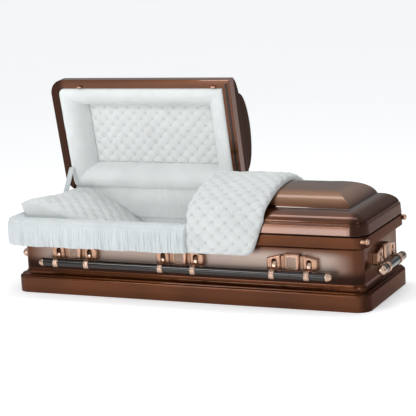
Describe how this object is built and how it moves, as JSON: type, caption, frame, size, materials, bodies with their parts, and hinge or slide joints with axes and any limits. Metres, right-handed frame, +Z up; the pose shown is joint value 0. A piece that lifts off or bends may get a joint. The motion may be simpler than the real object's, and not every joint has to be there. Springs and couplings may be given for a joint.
{
  "type": "funeral casket",
  "caption": "Half-couch sheet-metal casket with moulded base, domed hinged lids, cloth interior, quilted throw and swing bars on cast lugs, head lid open.",
  "frame": {"origin": "centre of the base moulding's underside, on the surface the casket stands on", "axes": "+X along the casket to the foot end, -Y to the front where the throw hangs, +Z up"},
  "size_m": [2.219, 0.8498, 1.1617],
  "materials": {
    "paint": "gloss metallic brown lacquer",
    "brushed": "brushed taupe shading to brown at the edges, under clear lacquer",
    "copper": "polished rose copper with dark antiquing",
    "bar": "near-black gloss brown",
    "rubber": "matte black",
    "cloth": "cool white crepe and velvet"
  },
  "bodies": {
    "shell": {"base_moulding": "paint", "shell": "brushed", "gasket": "rubber", "corner_cap_front": "copper", "corner_cap_back": "copper", "side_lining": "cloth", "mattress": "cloth", "pillow": "cloth", "apron": "cloth", "hinge_lining": "cloth", "stay_sleeve": "cloth", "hinge_bracket_1": "paint", "hinge_bracket_2": "paint", "hinge_bracket_3": "paint", "hinge_bracket_4": "paint", "lug_front_1": "copper", "lug_front_2": "copper", "lug_front_3": "copper", "lug_foot_1": "copper", "lug_back_1": "copper", "lug_back_2": "copper", "lug_back_3": "copper", "lug_head_1": "copper"},
    "head_lid": {"head_lid": "paint", "head_lid_frame": "cloth", "head_lid_panel": "cloth", "catch_1": "copper", "catch_2": "copper"},
    "foot_lid": {"foot_lid": "paint", "foot_lid_lining": "cloth", "throw": "cloth"},
    "front_bar": {"bar_front": "bar", "bar_tip_front_1": "copper", "bar_tip_front_2": "copper", "arm_front_1": "copper", "arm_front_2": "copper", "arm_front_3": "copper", "arm_front_4": "copper", "arm_front_5": "copper", "arm_front_6": "copper"},
    "back_bar": {"bar_back": "bar", "bar_tip_back_1": "copper", "bar_tip_back_2": "copper", "arm_back_1": "copper", "arm_back_2": "copper", "arm_back_3": "copper", "arm_back_4": "copper", "arm_back_5": "copper", "arm_back_6": "copper"},
    "foot_bar": {"bar_foot": "bar", "bar_tip_foot_1": "copper", "bar_tip_foot_2": "copper", "arm_foot_1": "copper", "arm_foot_2": "copper"},
    "head_bar": {"bar_head": "bar", "bar_tip_head_1": "copper", "bar_tip_head_2": "copper", "arm_head_1": "copper", "arm_head_2": "copper"}
  },
  "joints": [
    {"name": "head_lid_hinge", "type": "hinge", "parent": "shell", "child": "head_lid", "pos_m": [0, 0.36, 0.468], "axis": [1, 0, 0], "range_deg": [0, 79], "deforming": ["apron", "pillow", "hinge_lining", "stay_sleeve", "throw"]},
    {"name": "foot_lid_hinge", "type": "hinge", "parent": "shell", "child": "foot_lid", "pos_m": [0, 0.36, 0.468], "axis": [-1, 0, 0], "range_deg": [0, 79]},
    {"name": "front_bar_swing", "type": "hinge", "parent": "shell", "child": "front_bar", "pos_m": [0, -0.3335, 0.244], "axis": [-1, 0, 0], "range_deg": [0, 80]},
    {"name": "back_bar_swing", "type": "hinge", "parent": "shell", "child": "back_bar", "pos_m": [0, 0.3335, 0.244], "axis": [1, 0, 0], "range_deg": [0, 80]},
    {"name": "foot_bar_swing", "type": "hinge", "parent": "shell", "child": "foot_bar", "pos_m": [1.04, 0, 0.244], "axis": [0, -1, 0], "range_deg": [0, 80]},
    {"name": "head_bar_swing", "type": "hinge", "parent": "shell", "child": "head_bar", "pos_m": [-1.04, 0, 0.244], "axis": [0, 1, 0], "range_deg": [0, 80]}
  ]
}
